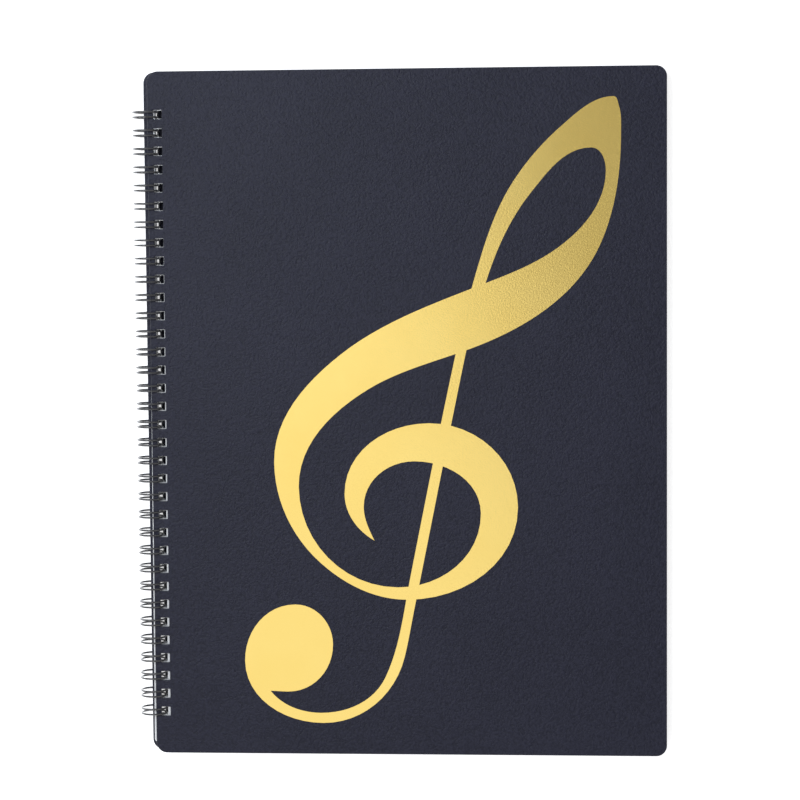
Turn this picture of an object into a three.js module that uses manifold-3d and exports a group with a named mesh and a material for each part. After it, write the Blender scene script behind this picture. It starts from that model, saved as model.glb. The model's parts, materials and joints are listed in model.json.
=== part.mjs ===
// A wire-bound music folder with stiff plastic covers, lying closed on its back.
// Millimetres, +Z up. X runs from the spine to the free edge and Y from the bottom to the top.
import * as THREE from 'three';
import { mergeVertices } from 'three/addons/utils/BufferGeometryUtils.js';
import Module from 'manifold-3d';

const wasm = await Module();
wasm.setup();

// Covers, which lie pushed a little apart on the loose wire
const coverWidth = 239.4;
const coverHeight = 319;
const coverThickness = 0.7;
const coverCornerRadius = 5;
const coverSpacing = 7.4;
const frontCoverPull = 0.9;
const backCoverPush = 0.6;
const backCoverLift = 0.25;

// Punched holes, three to the inch
const holePitch = 25.4 / 3;
const holeCount = 34;
const holeSize = 4.2;
const holeToEdge = 2.6;
const leafHoleSize = 3.8;

// Binding wire
const wireDiameter = 0.9;
const ringRadius = 5.9;
const pairSpacing = 2.4;
const wireBendRadius = 0.8;
const wireSides = 6;
const wireClearance = 0.3;
const fingerTipGap = 0.5;

// Pocket leaves
const leafCount = 20;
const leafWidth = 232;
const leafEndInset = 5;
const leafFill = 0.6;
const leafEdgeDepth = 0.8;

// Foil treble clef
const clefHeight = 290.5;
const clefShiftX = 0;
const clefShiftY = 0;
const foilThickness = 0.1;
const clefCurveSteps = 12;
const outlineGap = 0.05;

// Points closer than this are one point
const mergeDistance = 1e-4;

// Heights and places of the sheets, counted from the middle of the rings
const wireRadius = wireDiameter / 2;
const backCoverBottom = wireRadius + wireClearance + backCoverLift - ringRadius;
const backCoverTop = backCoverBottom + coverThickness;
const frontCoverBottom = backCoverBottom + coverSpacing;
const frontCoverTop = frontCoverBottom + coverThickness;
const baseRunZ = backCoverTop + wireClearance + wireRadius;
const leavesBottom = baseRunZ + wireRadius + wireClearance;
const leavesTop = frontCoverBottom - wireClearance;
const holeLine = (z) => Math.sqrt(ringRadius ** 2 - z ** 2);
const spineMargin = holeSize / 2 + holeToEdge;
const backHoleX = holeLine(backCoverBottom + coverThickness / 2) - backCoverPush;
const frontHoleX = holeLine(frontCoverBottom + coverThickness / 2) + frontCoverPull;
const leafHeight = coverHeight - 2 * leafEndInset;
const frontCoverMiddleX = frontHoleX - spineMargin + coverWidth / 2;
const holeYs = Array.from({ length: holeCount }, (_, i) => (i - (holeCount - 1) / 2) * holePitch);

// Solids for joining and cutting

function toSolid(geometry) {
  const bare = geometry.index ? geometry.toNonIndexed() : geometry.clone();
  bare.deleteAttribute('normal');
  bare.deleteAttribute('uv');
  const merged = mergeVertices(bare, mergeDistance);
  return new wasm.Manifold(new wasm.Mesh({
    numProp: 3,
    vertProperties: new Float32Array(merged.attributes.position.array),
    triVerts: new Uint32Array(merged.index.array),
  }));
}

function toGeometry(solid) {
  const mesh = solid.getMesh();
  const geometry = new THREE.BufferGeometry();
  geometry.setAttribute('position', new THREE.BufferAttribute(new Float32Array(mesh.vertProperties), 3));
  geometry.setIndex(new THREE.BufferAttribute(new Uint32Array(mesh.triVerts), 1));
  geometry.computeVertexNormals();
  return geometry;
}

function join(solids) {
  return solids.reduce((whole, solid) => whole.add(solid));
}

function namedMesh(name, geometry, look) {
  const mesh = new THREE.Mesh(geometry, new THREE.MeshStandardMaterial(look));
  mesh.name = name;
  return mesh;
}

// Covers: a sheet with round corners and a row of square holes along the spine

function squareHole(x, y, size) {
  const hole = new THREE.Path();
  hole.moveTo(x - size / 2, y - size / 2);
  hole.lineTo(x - size / 2, y + size / 2);
  hole.lineTo(x + size / 2, y + size / 2);
  hole.lineTo(x + size / 2, y - size / 2);
  hole.closePath();
  return hole;
}

function coverGeometry(holeX) {
  const left = holeX - spineMargin;
  const right = left + coverWidth;
  const top = coverHeight / 2;
  const r = coverCornerRadius;
  const sheet = new THREE.Shape();
  sheet.moveTo(left + r, -top);
  sheet.lineTo(right - r, -top);
  sheet.absarc(right - r, r - top, r, -Math.PI / 2, 0);
  sheet.absarc(right - r, top - r, r, 0, Math.PI / 2);
  sheet.absarc(left + r, top - r, r, Math.PI / 2, Math.PI);
  sheet.absarc(left + r, r - top, r, Math.PI, Math.PI * 1.5);
  sheet.holes = holeYs.map((y) => squareHole(holeX, y, holeSize));
  return new THREE.ExtrudeGeometry(sheet, { depth: coverThickness, bevelEnabled: false, curveSegments: 8 });
}

const coverLook = { color: 0x2b2c33, roughness: 0.55, metalness: 0 };

const backCover = namedMesh('back_cover', coverGeometry(backHoleX), coverLook);
backCover.position.z = backCoverBottom;

const frontCover = namedMesh('front_cover', coverGeometry(frontHoleX), coverLook);
frontCover.position.z = frontCoverBottom;

// Pocket leaves: one block whose edges step from leaf to leaf, following the curve of the rings

function plate(left, right, height, bottom, top) {
  const box = new THREE.BoxGeometry(right - left, height, top - bottom);
  box.translate((left + right) / 2, 0, (bottom + top) / 2);
  return toSolid(box);
}

function leafChannel() {
  const levels = 4;
  const low = leavesBottom - 1;
  const high = leavesTop + 1;
  const heights = Array.from({ length: levels + 1 }, (_, i) => low + ((high - low) * i) / levels);
  const profile = new THREE.Shape();
  heights.forEach((z, i) => {
    const x = holeLine(z) - leafHoleSize / 2;
    if (i === 0) profile.moveTo(x, z);
    else profile.lineTo(x, z);
  });
  heights.reverse().forEach((z) => profile.lineTo(holeLine(z) + leafHoleSize / 2, z));
  const channel = new THREE.ExtrudeGeometry(profile, { depth: leafHoleSize, bevelEnabled: false });
  channel.rotateX(Math.PI / 2);
  channel.translate(0, leafHoleSize / 2, 0);
  return channel;
}

function leavesGeometry() {
  const pitch = (leavesTop - leavesBottom) / leafCount;
  const plates = [];
  for (let i = 0; i < leafCount; i += 1) {
    const bottom = leavesBottom + i * pitch;
    const top = bottom + pitch * leafFill;
    const left = holeLine((bottom + top) / 2) - spineMargin;
    plates.push(plate(left, left + leafWidth, leafHeight, bottom, top));
  }
  const coreLeft = holeLine(leavesTop) - spineMargin + leafEdgeDepth;
  const coreRight = holeLine(leavesBottom) - spineMargin + leafWidth - leafEdgeDepth;
  const coreBottom = leavesBottom + (pitch * leafFill) / 2;
  const coreTop = leavesTop - pitch * (1 - leafFill / 2);
  const core = plate(coreLeft, coreRight, leafHeight - 2 * leafEdgeDepth, coreBottom, coreTop);
  const channels = holeYs.map((y) => toSolid(leafChannel().translate(0, y, 0)));
  return toGeometry(join([core, ...plates]).subtract(join(channels)));
}

const leavesLook = { color: 0xe9ecee, roughness: 0.3, metalness: 0 };
const pocketLeaves = namedMesh('pocket_leaves', leavesGeometry(), leavesLook);

// Binding wire: one wire bent into pairs of fingers and rolled round into rings.
// It is laid out on the flat first, as distance round the ring and place along the spine.

class BentWire extends THREE.Curve {
  constructor(points) {
    super();
    this.points = points;
  }

  getPoint(t) {
    const at = t * (this.points.length - 1);
    const i = Math.min(Math.floor(at), this.points.length - 2);
    return this.points[i].clone().lerp(this.points[i + 1], at - i);
  }

  // Every step of a tube along the wire ends on one of its own points.
  getUtoTmapping(u) {
    return u;
  }
}

const fingerSteps = 10;
const baseAngle = Math.asin(baseRunZ / ringRadius);
const tipAllowance = wireDiameter + fingerTipGap;
const fingerLength = 2 * Math.PI * ringRadius - tipAllowance;

function flatFinger(y) {
  const half = pairSpacing / 2;
  const b = wireBendRadius;
  const straight = fingerLength - half - b;
  const points = [[0, y - half - b]];
  for (let i = 0; i <= fingerSteps; i += 1) points.push([b + (straight * i) / fingerSteps, y - half]);
  for (const turn of [-30, 30]) {
    const a = THREE.MathUtils.degToRad(turn);
    points.push([b + straight + half * Math.cos(a), y + half * Math.sin(a)]);
  }
  for (let i = fingerSteps; i >= 0; i -= 1) points.push([b + (straight * i) / fingerSteps, y + half]);
  points.push([0, y + half + b]);
  return points;
}

function rolled([around, along]) {
  const chord = fingerLength / ringRadius / fingerSteps / 2;
  const radius = (2 * ringRadius) / (1 + Math.cos(chord));
  const angle = baseAngle - around / ringRadius;
  return new THREE.Vector3(radius * Math.cos(angle), along, radius * Math.sin(angle));
}

function wireGeometry() {
  const route = holeYs.flatMap((y) => flatFinger(y)).map(rolled);
  const section = new THREE.Shape();
  section.absarc(0, 0, wireRadius, 0, 2 * Math.PI);
  return new THREE.ExtrudeGeometry(section, {
    extrudePath: new BentWire(route),
    steps: route.length - 1,
    curveSegments: wireSides / 2,
  });
}

const wireLook = { color: 0x17171a, roughness: 0.25, metalness: 0.6 };
const bindingWire = namedMesh('binding_wire', toGeometry(toSolid(wireGeometry())), wireLook);

// Foil treble clef, drawn as two pen strokes that overlap: the sweep with its inner spiral, and
// the top loop with the stem, hook and ball. Each row is a point of a stroke's outline, x and y
// from the middle of the cover, and the heading of the line there in degrees. A second heading
// makes a corner, and a straight line closes the stroke.

const clefDrawingHeight = 290.5;

const clefSweep = [
  [98.8, 130.5, -90], [90, 80, -113], [71.5, 54.5, -138], [25, 29, -161], [-18, 12, -149],
  [-51, -33.5, -90], [-5, -80.6, 0], [33.8, -46, 90], [3, -21.6, 180], [-20.7, -43, -90],
  [-15.8, -58.7, -64, 150], [-29.6, -37, 90], [10, -3.9, 0], [51, -43, -90], [-1, -86.4, 180],
  [-41, -69.3, 138], [-62.4, -22, 90], [-31, 28, 38], [30, 58.3, 21], [70, 77, 36], [91.8, 112, 90],
];

const clefStem = [
  [98.8, 130.5, 90], [97.9, 141, 108], [95.2, 145.7, 180], [71.7, 132.6, -139.5],
  [49.6, 107.6, -123.5], [31.3, 62.7, -106.4], [21.7, 24.4, -102.5], [0.7, -76.3, -101.5],
  [-11.2, -123, -115.5], [-41.5, -140, 180], [-65.3, -129.7, 128, 0], [-57, -130, 0],
  [-35.7, -107.5, 90], [-53.2, -88.8, 180], [-77.2, -115.5, -90], [-40.6, -144.8, 0],
  [-2.1, -113.3, 76], [2.6, -90.6, 78.3], [26.6, 25.7, 78], [37.7, 64.3, 71.2], [57.4, 102, 51],
  [85, 122.5, 0], [91.8, 112, -90, -77], [94.5, 100, -77],
];

// How far a smooth curve keeps its first heading, as a share of the straight distance, from the
// angles at which it leaves and meets the straight line. This keeps the pen strokes round.
function headingReach(leave, meet) {
  const root5 = Math.sqrt(5);
  const lift = (Math.sin(leave) - Math.sin(meet) / 16) * (Math.sin(meet) - Math.sin(leave) / 16);
  const above = 2 + Math.SQRT2 * lift * (Math.cos(leave) - Math.cos(meet));
  const below = 1 + ((root5 - 1) / 2) * Math.cos(leave) + ((3 - root5) / 2) * Math.cos(meet);
  return above / (3 * below);
}

function wrapAngle(angle) {
  return Math.atan2(Math.sin(angle), Math.cos(angle));
}

function clefShape(rows) {
  const scale = clefHeight / clefDrawingHeight;
  const shape = new THREE.Shape();
  shape.moveTo(rows[0][0] * scale, rows[0][1] * scale);
  rows.slice(0, -1).forEach((row, i) => {
    const next = rows[i + 1];
    const start = new THREE.Vector2(row[0], row[1]).multiplyScalar(scale);
    const end = new THREE.Vector2(next[0], next[1]).multiplyScalar(scale);
    const leaving = THREE.MathUtils.degToRad(row[3] ?? row[2]);
    const meeting = THREE.MathUtils.degToRad(next[2]);
    const straight = end.clone().sub(start);
    const leave = wrapAngle(leaving - straight.angle());
    const meet = wrapAngle(straight.angle() - meeting);
    const out = headingReach(leave, meet) * straight.length();
    const back = headingReach(meet, leave) * straight.length();
    shape.bezierCurveTo(
      start.x + out * Math.cos(leaving), start.y + out * Math.sin(leaving),
      end.x - back * Math.cos(meeting), end.y - back * Math.sin(meeting),
      end.x, end.y,
    );
  });
  return shape;
}

// A loop without the corners that lie closer than the gap, and without those on a straight line
function tidyLoop(loop) {
  const spaced = loop.filter((point, i) => point.distanceTo(loop.at(i - 1)) > outlineGap);
  return spaced.filter((point, i) => {
    const before = spaced.at(i - 1);
    const along = spaced[(i + 1) % spaced.length].clone().sub(before);
    return Math.abs(along.cross(point.clone().sub(before))) / along.length() > mergeDistance;
  });
}

// The loops round a flat solid's top face
function topLoops(geometry, top) {
  const corners = geometry.index.array;
  const place = (i) => new THREE.Vector3().fromBufferAttribute(geometry.attributes.position, i);
  const edges = new Map();
  for (let i = 0; i < corners.length; i += 3) {
    const face = [corners[i], corners[i + 1], corners[i + 2]];
    if (face.every((corner) => place(corner).z > top - mergeDistance)) {
      face.forEach((from, k) => edges.set(`${from} ${face[(k + 1) % 3]}`, [from, face[(k + 1) % 3]]));
    }
  }
  const rim = new Map([...edges.values()].filter(([from, to]) => !edges.has(`${to} ${from}`)));
  const loops = [];
  while (rim.size > 0) {
    const loop = [];
    let corner = rim.keys().next().value;
    while (rim.has(corner)) {
      const { x, y } = place(corner);
      loop.push(new THREE.Vector2(x, y));
      const next = rim.get(corner);
      rim.delete(corner);
      corner = next;
    }
    loops.push(tidyLoop(loop));
  }
  return loops;
}

// The strokes join into one outline, which is then cut from the foil in one piece.
function clefGeometry() {
  const foil = { depth: foilThickness, bevelEnabled: false, curveSegments: clefCurveSteps };
  const extruded = (rows) => toSolid(new THREE.ExtrudeGeometry(clefShape(rows), foil));
  const strokes = [extruded(clefSweep), extruded(clefStem)];
  const size = (loop) => Math.abs(THREE.ShapeUtils.area(loop));
  const loops = topLoops(toGeometry(join(strokes)), foilThickness).sort((a, b) => size(b) - size(a));
  const outline = new THREE.Shape(loops[0]);
  outline.holes = loops.slice(1).map((loop) => new THREE.Path(loop));
  return new THREE.ExtrudeGeometry(outline, foil);
}

const foilLook = { color: 0xe3bf63, roughness: 0.35, metalness: 0.9 };
const clefFoil = namedMesh('clef_foil', clefGeometry(), foilLook);
clefFoil.position.set(frontCoverMiddleX + clefShiftX, clefShiftY, frontCoverTop);

// The whole folder stands on its lowest point, with its middle over the origin.

const folder = new THREE.Group();
folder.add(backCover, pocketLeaves, frontCover, clefFoil, bindingWire);
const extent = new THREE.Box3().setFromObject(folder, true);
const middle = extent.getCenter(new THREE.Vector3());
folder.position.set(-middle.x, -middle.y, -extent.min.z);

export default folder;
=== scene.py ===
"""Looks of the wire-bound music folder: grained black covers, gold foil clef, black wire, clear leaves."""
import json
import math
import random

import bmesh
import bpy
from mathutils import Matrix, Vector
from mathutils.geometry import delaunay_2d_cdt


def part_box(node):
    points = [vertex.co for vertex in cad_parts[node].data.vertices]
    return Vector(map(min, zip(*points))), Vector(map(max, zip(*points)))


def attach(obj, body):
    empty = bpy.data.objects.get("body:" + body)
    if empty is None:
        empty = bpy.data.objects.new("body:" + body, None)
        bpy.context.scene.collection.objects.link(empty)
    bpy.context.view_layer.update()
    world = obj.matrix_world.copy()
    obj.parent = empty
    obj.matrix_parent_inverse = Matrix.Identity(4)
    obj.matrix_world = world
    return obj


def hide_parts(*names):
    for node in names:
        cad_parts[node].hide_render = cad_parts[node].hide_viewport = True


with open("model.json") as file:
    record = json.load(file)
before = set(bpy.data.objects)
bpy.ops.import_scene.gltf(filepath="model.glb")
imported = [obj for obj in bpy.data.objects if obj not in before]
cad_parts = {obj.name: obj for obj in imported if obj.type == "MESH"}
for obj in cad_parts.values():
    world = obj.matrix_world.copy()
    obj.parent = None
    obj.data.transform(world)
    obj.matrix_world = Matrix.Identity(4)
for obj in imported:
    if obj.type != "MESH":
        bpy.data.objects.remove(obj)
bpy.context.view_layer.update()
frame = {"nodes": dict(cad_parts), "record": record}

MM = 0.001
NODES = frame["nodes"]
JOINT = next(j for j in frame["record"]["behaviour"]["joints"] if j["name"] == "front_cover_hinge")
AXIS_X = JOINT["pos_m"][0]
AXIS_Z = JOINT["pos_m"][2]

# Sizes shared with the solids
CORNER_RADIUS = 5 * MM
HOLE_PITCH = 25.4 / 3 * MM
HOLE_COUNT = 34
HOLE_SIZE = 4.2 * MM
HOLE_TO_EDGE = 2.6 * MM
RING_RADIUS = 5.9 * MM
WIRE_RADIUS = 0.45 * MM
PAIR_SPACING = 2.4 * MM
WIRE_BEND = 0.8 * MM
BASE_RUN_RISE = 0.75 * MM
TIP_ALLOWANCE = 1.4 * MM
LEAF_COUNT = 20
LEAF_WIDTH = 232 * MM
LEAF_HOLE_SIZE = 3.8 * MM
LEAF_FILL = 0.6

# Sizes of the finer shapes
COVER_EDGE = 0.2 * MM
COVER_HOLE_CORNER = 0.3 * MM
LEAF_EDGE = 0.02 * MM
LEAF_CORNER = 1.2 * MM
LEAF_HOLE_CORNER = 0.2 * MM
LEAF_SKEW = 1.5 * MM
LEAF_SLIDE = 0.6 * MM
LARGEST_LEAF_INSET = 0.35
STRIP_WIDTH = 15.6 * MM
WELD_LENGTH = 2.0 * MM
WELD_PITCH = 2.6 * MM
WELD_WIDTH = 1.2 * MM
WELD_HEIGHT = 0.12 * MM
WELD_SINK = 0.01 * MM
WELD_CROWN = 0.75
WELD_TO_EDGE = 3 * MM
SPINE_WELD_INSET = 15 * MM
FOOT_WELD_START = 17 * MM
FOOT_WELD_END = 5 * MM

# How finely round shapes are divided
RIM_STEPS = 12
HOLE_STEPS = 2
FINGER_STEPS = 40
BEND_STEPS = 4
TIP_STEPS = 8
FILL_TOLERANCE = 1e-6 * MM

HOLE_YS = [(i - (HOLE_COUNT - 1) / 2) * HOLE_PITCH for i in range(HOLE_COUNT)]
BACK_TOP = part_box("back_cover")[1].z
FRONT_LOW, FRONT_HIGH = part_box("front_cover")
LEAVES_LOW, LEAVES_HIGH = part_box("pocket_leaves")
SPINE_MARGIN = HOLE_SIZE / 2 + HOLE_TO_EDGE


# Node helpers

def new_material(name, **values):
    material = bpy.data.materials.new(name)
    material.use_nodes = True
    shader = material.node_tree.nodes["Principled BSDF"]
    for socket, value in values.items():
        shader.inputs[socket.replace("_", " ")].default_value = value
    return material, material.node_tree, shader


def add_node(tree, kind, **values):
    node = tree.nodes.new(kind)
    for key, value in values.items():
        if key in node.inputs:
            node.inputs[key].default_value = value
        else:
            setattr(node, key, value)
    return node


def object_coordinates(tree):
    return tree.nodes.new("ShaderNodeTexCoord").outputs["Object"]


def noise(tree, size, detail=2.0, roughness=0.5):
    """Noise whose blobs are about size metres across."""
    node = add_node(tree, "ShaderNodeTexNoise", Scale=1 / size, Detail=detail, Roughness=roughness)
    tree.links.new(object_coordinates(tree), node.inputs["Vector"])
    return node.outputs["Fac"]


def spread(tree, value, low, high, from_low=0.3, from_high=0.7):
    node = tree.nodes.new("ShaderNodeMapRange")
    node.inputs["From Min"].default_value = from_low
    node.inputs["From Max"].default_value = from_high
    node.inputs["To Min"].default_value = low
    node.inputs["To Max"].default_value = high
    tree.links.new(value, node.inputs["Value"])
    return node.outputs["Result"]


def blend_colours(tree, amount, first, second):
    node = add_node(tree, "ShaderNodeMix", data_type="RGBA")
    tree.links.new(amount, node.inputs["Factor"])
    for socket in node.inputs:
        if socket.type == "RGBA" and socket.name in ("A", "B"):
            socket.default_value = (*(first if socket.name == "A" else second), 1)
    return next(s for s in node.outputs if s.type == "RGBA")


def bump(tree, shader, height, strength, distance):
    node = add_node(tree, "ShaderNodeBump", Strength=strength, Distance=distance)
    tree.links.new(height, node.inputs["Height"])
    tree.links.new(node.outputs["Normal"], shader.inputs["Normal"])


# Materials

def cover_plastic():
    material, tree, shader = new_material("grained_polypropylene", Specular_IOR_Level=0.22, IOR=1.49)
    cloud = spread(tree, noise(tree, 60 * MM), -0.15, 0.15)
    grain = noise(tree, 1.0 * MM, detail=3.0, roughness=0.6)
    speckle = add_node(tree, "ShaderNodeMath", operation="ADD")
    tree.links.new(spread(tree, grain, 0, 1, 0.35, 0.65), speckle.inputs[0])
    tree.links.new(cloud, speckle.inputs[1])
    colour = blend_colours(tree, speckle.outputs["Value"], (0.0085, 0.0090, 0.0200), (0.0190, 0.0196, 0.0375))
    tree.links.new(colour, shader.inputs["Base Color"])
    tree.links.new(spread(tree, grain, 0.3, 0.44), shader.inputs["Roughness"])
    bump(tree, shader, grain, 1.0, 0.35 * MM)
    return material


def painted_edge_highlight():
    """The sheared edges of the covers, painted paler than their faces as a painted highlight along the cut
    edge.
    """
    material, tree, shader = new_material("sheared_edge_painted_highlight", Specular_IOR_Level=0.4)
    mottle = noise(tree, 3 * MM, detail=3.0)
    # Both edge colours are paler than the cover: painted highlight along the cut edge, with random mottle
    # between them.
    colour = blend_colours(tree, spread(tree, mottle, 0, 1), (0.026, 0.026, 0.038), (0.060, 0.060, 0.075))
    tree.links.new(colour, shader.inputs["Base Color"])
    tree.links.new(spread(tree, mottle, 0.3, 0.5), shader.inputs["Roughness"])
    bump(tree, shader, noise(tree, 0.3 * MM), 0.3, 0.05 * MM)
    return material


def gold_foil():
    material, tree, shader = new_material("stamped_gold", Metallic=1.0)
    cloud = noise(tree, 35 * MM)
    colour = blend_colours(tree, spread(tree, cloud, 0, 1), (0.90, 0.665, 0.195), (0.92, 0.695, 0.22))
    tree.links.new(colour, shader.inputs["Base Color"])
    grain = noise(tree, 0.8 * MM, detail=3.0, roughness=0.65)
    tree.links.new(spread(tree, grain, 0.13, 0.2), shader.inputs["Roughness"])
    bump(tree, shader, grain, 0.4, 0.12 * MM)
    return material


def coated_wire():
    material, tree, shader = new_material("nylon_coating", IOR=1.8, Coat_Weight=1.0, Coat_Roughness=0.1)
    mottle = noise(tree, 2.5 * MM)
    colour = blend_colours(tree, spread(tree, mottle, 0, 1), (0.012, 0.012, 0.014), (0.030, 0.030, 0.034))
    tree.links.new(colour, shader.inputs["Base Color"])
    tree.links.new(spread(tree, mottle, 0.22, 0.34), shader.inputs["Roughness"])
    bump(tree, shader, noise(tree, 0.4 * MM), 0.08, 0.03 * MM)
    return material


def leaf_film():
    """Glossy film pockets, with the opaque punched strip beside the wire a little whiter."""
    material, tree, shader = new_material("clear_film", IOR=1.49, Coat_Weight=0.6, Coat_Roughness=0.08,
                                          Subsurface_Weight=0.5, Subsurface_Scale=0.002,
                                          Subsurface_Radius=(1, 1, 1))
    place = tree.nodes.new("ShaderNodeSeparateXYZ")
    tree.links.new(object_coordinates(tree), place.inputs["Vector"])
    strip_end = LEAVES_LOW.x + STRIP_WIDTH
    pocket = spread(tree, place.outputs["X"], 0, 1, strip_end, strip_end + 0.3 * MM)
    cloud = spread(tree, noise(tree, 25 * MM), 0, 1)
    film = add_node(tree, "ShaderNodeMath", operation="MULTIPLY")
    tree.links.new(pocket, film.inputs[0])
    tree.links.new(spread(tree, cloud, 0.75, 1.0, 0, 1), film.inputs[1])
    colour = blend_colours(tree, film.outputs["Value"], (0.95, 0.96, 0.97), (0.72, 0.76, 0.79))
    tree.links.new(colour, shader.inputs["Base Color"])
    ripple = noise(tree, 14 * MM, detail=3.0)
    tree.links.new(spread(tree, ripple, 0.1, 0.24), shader.inputs["Roughness"])
    bump(tree, shader, ripple, 0.35, 0.5 * MM)
    return material


def white_floor():
    material, tree, shader = new_material("white_floor", Roughness=0.9, Emission_Strength=0.62)
    shader.inputs["Emission Color"].default_value = (1, 1, 1, 1)
    colour = blend_colours(tree, noise(tree, 0.8), (0.93, 0.93, 0.93), (0.95, 0.95, 0.95))
    tree.links.new(colour, shader.inputs["Base Color"])
    return material


# Sheets

def arc(centre, radius, start, turn, steps):
    for i in range(steps + 1):
        angle = math.radians(start + turn * i / steps)
        yield centre[0] + radius * math.cos(angle), centre[1] + radius * math.sin(angle)


def sheet_outline(left, right, bottom, top, radius, steps):
    corners = (
        ((right - radius, bottom + radius), -90),
        ((right - radius, top - radius), 0),
        ((left + radius, top - radius), 90),
        ((left + radius, bottom + radius), 180),
    )
    return [point for centre, start in corners for point in arc(centre, radius, start, 90, steps)]


def sheet_loops(rim, holes, inset):
    """The sheet's rim and the edges of its holes, moved into the sheet by inset."""
    left, right, bottom, top, radius = rim
    sides = (left + inset, right - inset, bottom + inset, top - inset)
    loops = [sheet_outline(*sides, radius - inset, RIM_STEPS)]
    for x, y, size, hole_radius in holes:
        half = size / 2 + inset
        loops.append(sheet_outline(x - half, x + half, y - half, y + half, hole_radius + inset, HOLE_STEPS))
    return loops


def fill_face(sheet, loops):
    """A flat face inside the first loop and outside the others, in triangles."""
    corners = [(k, corner) for k, loop in enumerate(loops) for corner in loop]
    edges = []
    for loop in loops:
        start = len(edges)
        edges += [(start + i, start + (i + 1) % len(loop)) for i in range(len(loop))]
    places = [corner.co.xy for _, corner in corners]
    _, _, triangles, sources, _, _ = delaunay_2d_cdt(places, edges, [], 0, FILL_TOLERANCE)
    for triangle in triangles:
        used = [corners[sources[i][0]] for i in triangle]
        owners = {k for k, _ in used}
        # A triangle between corners of one hole lies in the hole, and is left out
        if len(owners) > 1 or owners == {0}:
            sheet.faces.new([corner for _, corner in used])


def sheet_mesh(name, rim, holes, low, high, edge):
    """A flat sheet from low to high with square holes in it, its edges rounded off by edge."""
    bend = edge * (1 - math.sqrt(0.5))
    levels = [
        (edge, low), (bend, low + bend), (0, low + edge),
        (0, high - edge), (bend, high - bend), (edge, high),
    ]
    sheet = bmesh.new()
    rings = [[[sheet.verts.new((x, y, z)) for x, y in loop] for loop in sheet_loops(rim, holes, inset)]
             for inset, z in levels]
    for lower, upper in zip(rings, rings[1:]):
        for below, above in zip(lower, upper):
            for i in range(len(below)):
                sheet.faces.new((below[i - 1], below[i], above[i], above[i - 1]))
    fill_face(sheet, rings[0])
    fill_face(sheet, rings[-1])
    bmesh.ops.recalc_face_normals(sheet, faces=sheet.faces)
    mesh = bpy.data.meshes.new(name)
    sheet.to_mesh(mesh)
    sheet.free()
    return mesh


def add_piece(name, mesh, material, slot, body, *replaced):
    piece = bpy.data.objects.new(name, mesh)
    bpy.context.scene.collection.objects.link(piece)
    mesh.materials.clear()
    mesh.materials.append(material)
    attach(piece, body)
    if replaced:
        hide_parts(*replaced)
    return piece


def make_cover(node, body, material, edge_highlight_material):
    low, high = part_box(node)
    hole_x = low.x + SPINE_MARGIN
    rim = (low.x, high.x, low.y, high.y, CORNER_RADIUS)
    holes = [(hole_x, y, HOLE_SIZE, COVER_HOLE_CORNER) for y in HOLE_YS]
    mesh = sheet_mesh(node + "_sheet", rim, holes, low.z, high.z, COVER_EDGE)
    add_piece(node + "_sheet", mesh, material, "cover_plastic", body, node)
    # Side and bevel faces get the edge material, painted paler as a highlight along the cut edge.
    mesh.materials.append(edge_highlight_material)
    for face in mesh.polygons:
        is_flat = abs(face.normal.z) > 0.99
        face.material_index = 0 if is_flat else 1


# Pocket leaves, each a thin sheet shifted so that its holes follow the rings

def hole_line(z):
    return AXIS_X + math.sqrt(RING_RADIUS ** 2 - (z - AXIS_Z) ** 2)


def weld_pads(outline_box, z, side):
    """Rows of pressed pads along the spine, foot and free edge of a pocket, standing out to one side."""
    left, right, bottom, top = outline_box
    heights = rows(bottom + WELD_TO_EDGE, top - WELD_TO_EDGE)
    spine_row = [(left + SPINE_WELD_INSET, y, False) for y in heights]
    free_row = [(right - WELD_TO_EDGE, y, False) for y in heights]
    foot_row = [(x, bottom + WELD_TO_EDGE, True) for x in rows(left + FOOT_WELD_START, right - FOOT_WELD_END)]
    for x, y, lengthwise in spine_row + free_row + foot_row:
        half_x, half_y = WELD_WIDTH / 2, WELD_LENGTH / 2
        if lengthwise:
            half_x, half_y = half_y, half_x
        signs = ((-1, -1), (1, -1), (1, 1), (-1, 1))
        base = [(x + a * half_x, y + b * half_y, z - side * WELD_SINK) for a, b in signs]
        crown = [(x + a * half_x * WELD_CROWN, y + b * half_y * WELD_CROWN, z + side * WELD_HEIGHT)
                 for a, b in signs]
        yield base, crown


def rows(start, end):
    count = int((end - start) / WELD_PITCH)
    return [start + (i + 0.5) * (end - start) / count for i in range(count)]


def weld_mesh(outline_box, z, side):
    pads = bmesh.new()
    for base, crown in weld_pads(outline_box, z, side):
        low = [pads.verts.new(point) for point in base]
        high = [pads.verts.new(point) for point in crown]
        pads.faces.new(low[::-1])
        pads.faces.new(high)
        for i in range(4):
            pads.faces.new((low[i], low[(i + 1) % 4], high[(i + 1) % 4], high[i]))
    bmesh.ops.recalc_face_normals(pads, faces=pads.faces)
    mesh = bpy.data.meshes.new("welds")
    pads.to_mesh(mesh)
    pads.free()
    return mesh


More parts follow.
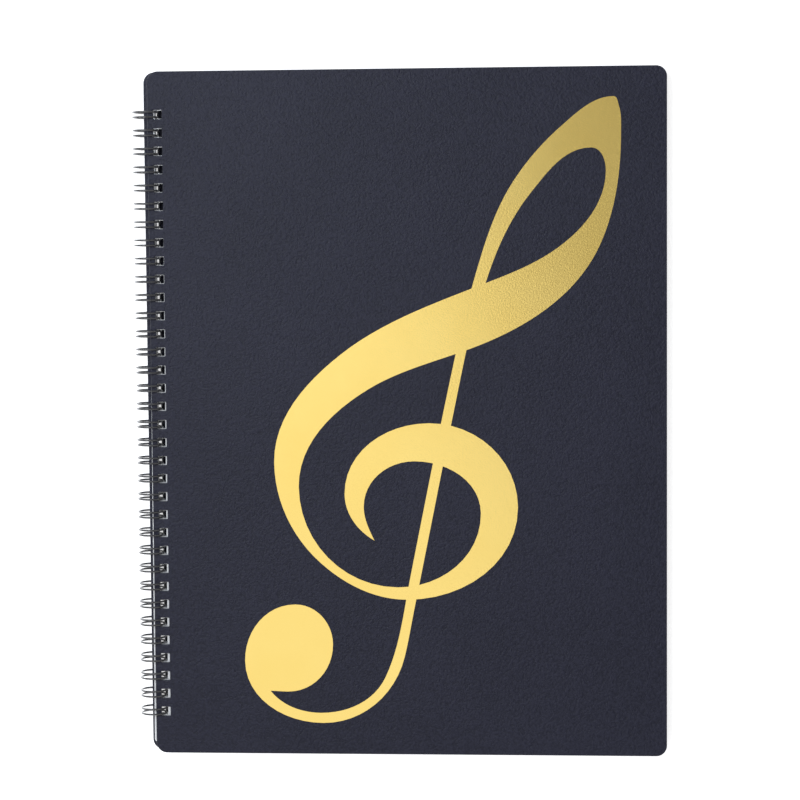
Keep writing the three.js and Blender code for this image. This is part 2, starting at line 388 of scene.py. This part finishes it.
def make_leaves(material):
    dice = random.Random(7)
    pitch = (LEAVES_HIGH.z - LEAVES_LOW.z) / (LEAF_COUNT - 1 + LEAF_FILL)
    whole = bmesh.new()
    bottom, top = LEAVES_LOW.y, LEAVES_HIGH.y
    skew = Matrix.Rotation(-LEAF_SKEW / (top - bottom), 4, "Z")
    slide = Vector((LEAF_SLIDE, 0, 0))
    for i in range(LEAF_COUNT):
        low = LEAVES_LOW.z + i * pitch
        high = low + pitch * LEAF_FILL
        hole_x = hole_line((low + high) / 2)
        left = hole_x - SPINE_MARGIN
        right = left + LEAF_WIDTH
        inset = dice.uniform(0, LARGEST_LEAF_INSET) * MM
        rim = (left + inset, right - inset, bottom + inset, top - inset, LEAF_CORNER)
        holes = [(hole_x, y, LEAF_HOLE_SIZE, LEAF_HOLE_CORNER) for y in HOLE_YS]
        parts = [sheet_mesh("leaf", rim, holes, low, high, LEAF_EDGE)]
        if i == 0:
            parts.append(weld_mesh((left, right, bottom, top), low, -1))
        if i == LEAF_COUNT - 1:
            parts.append(weld_mesh((left, right, bottom, top), high, 1))
        corner = Vector((left, bottom, 0))
        place = Matrix.Translation(corner - slide) @ skew @ Matrix.Translation(-corner)
        for part in parts:
            part.transform(place)
            whole.from_mesh(part)
            bpy.data.meshes.remove(part)
    joined = bpy.data.meshes.new("leaf_stack")
    whole.to_mesh(joined)
    whole.free()
    return add_piece("leaf_stack", joined, material, "leaf_film", "binding", "pocket_leaves")


# Binding wire, laid out flat as distance round the ring and place along the spine

def finger(y, ring):
    """Out along one wire of the pair, round the tip and back along the other."""
    half = PAIR_SPACING / 2
    end = 2 * math.pi * ring - TIP_ALLOWANCE - half
    yield from arc((WIRE_BEND, y - half - WIRE_BEND), WIRE_BEND, 180, -90, BEND_STEPS)
    for i in range(1, FINGER_STEPS):
        yield WIRE_BEND + (end - WIRE_BEND) * i / FINGER_STEPS, y - half
    yield from arc((end, y), half, -90, 180, TIP_STEPS)
    for i in range(1, FINGER_STEPS):
        yield end + (WIRE_BEND - end) * i / FINGER_STEPS, y + half
    yield from arc((WIRE_BEND, y + half + WIRE_BEND), WIRE_BEND, 270, -90, BEND_STEPS)


def make_wire(material):
    """One wire in round rings that just rest on the surface below."""
    ring = AXIS_Z - WIRE_RADIUS
    base_angle = math.asin((BACK_TOP + BASE_RUN_RISE - AXIS_Z) / RING_RADIUS)
    curve = bpy.data.curves.new("wire_comb", "CURVE")
    curve.dimensions = "3D"
    curve.bevel_depth = WIRE_RADIUS
    curve.bevel_resolution = 3
    curve.use_fill_caps = True
    spline = curve.splines.new("POLY")
    route = [point for y in HOLE_YS for point in finger(y, ring)]
    spline.points.add(len(route) - 1)
    for point, (around, along) in zip(spline.points, route):
        angle = base_angle - around / ring
        point.co = (AXIS_X + ring * math.cos(angle), along, AXIS_Z + ring * math.sin(angle), 1)
    maker = bpy.data.objects.new("wire_maker", curve)
    bpy.context.scene.collection.objects.link(maker)
    bpy.context.view_layer.update()
    shaped = maker.evaluated_get(bpy.context.evaluated_depsgraph_get())
    mesh = bpy.data.meshes.new_from_object(shaped)
    bpy.data.objects.remove(maker)
    bpy.data.curves.remove(curve)
    mesh.name = "wire_comb"
    mesh.shade_smooth()
    return add_piece("wire_comb", mesh, material, "coated_wire", "binding", "binding_wire")


# Camera, from the photograph's perspective: a long lens over the cover, seen almost square on

FOCAL_PIXELS = 2400
FRAME_PIXELS = 800
SENSOR_WIDTH = 36
CAMERA_OVER_COVER = Vector((75.3, 86.6, 1106.4)) * MM
TILTS = (("Z", 0.161), ("Y", -4.058), ("X", 4.119))


def make_camera():
    camera = bpy.data.objects.new("camera", bpy.data.cameras.new("camera"))
    bpy.context.scene.collection.objects.link(camera)
    camera.data.sensor_width = SENSOR_WIDTH
    camera.data.lens = SENSOR_WIDTH * FOCAL_PIXELS / FRAME_PIXELS
    turn = Matrix.Identity(3)
    for axis, degrees in TILTS:
        turn = turn @ Matrix.Rotation(math.radians(degrees), 3, axis)
    cover_middle = Vector(((FRONT_LOW.x + FRONT_HIGH.x) / 2, 0, FRONT_HIGH.z))
    place = turn.inverted().to_4x4()
    place.translation = cover_middle + CAMERA_OVER_COVER
    camera.matrix_world = place
    bpy.context.scene.camera = camera


# Studio

def area_light(name, place, size, watts, turn=0, colour=(1, 1, 1)):
    """A flat panel light facing down, turned about the vertical."""
    light = bpy.data.objects.new(name, bpy.data.lights.new(name, "AREA"))
    bpy.context.scene.collection.objects.link(light)
    light.data.shape = "RECTANGLE"
    light.data.size, light.data.size_y = size
    light.data.energy = watts
    light.data.color = colour
    light.location = place
    light.rotation_euler = (0, 0, turn)


def make_studio():
    bpy.context.scene.view_settings.view_transform = "Standard"
    world = bpy.data.worlds.new("studio")
    bpy.context.scene.world = world
    world.use_nodes = True
    world.node_tree.nodes["Background"].inputs["Color"].default_value = (1, 1, 1, 1)
    world.node_tree.nodes["Background"].inputs["Strength"].default_value = 0.44
    area_light("softbox", (-1.067, -0.511, 1.5), (2.4, 2.4), 11.7, math.radians(25.5))
    area_light("corner_glow", (-0.62, 0.45, 1.5), (0.6, 0.6), 13, colour=(0.8, 0.88, 1))
    floor = bpy.data.objects.new("floor", bpy.data.meshes.new("floor"))
    bpy.context.scene.collection.objects.link(floor)
    reach = 6
    corners = [(-reach, -reach, 0), (reach, -reach, 0), (reach, reach, 0), (-reach, reach, 0)]
    floor.data.from_pydata(corners, [], [(0, 1, 2, 3)])
    floor.data.materials.append(white_floor())


plastic = cover_plastic()
# Edge material painted paler than the covers: a painted highlight along their cut edges.
edge_highlight = painted_edge_highlight()
make_cover("back_cover", "back", plastic, edge_highlight)
make_cover("front_cover", "front", plastic, edge_highlight)
make_leaves(leaf_film())
make_wire(coated_wire())
NODES["clef_foil"].data.materials.clear()
NODES["clef_foil"].data.materials.append(gold_foil())
make_camera()
make_studio()
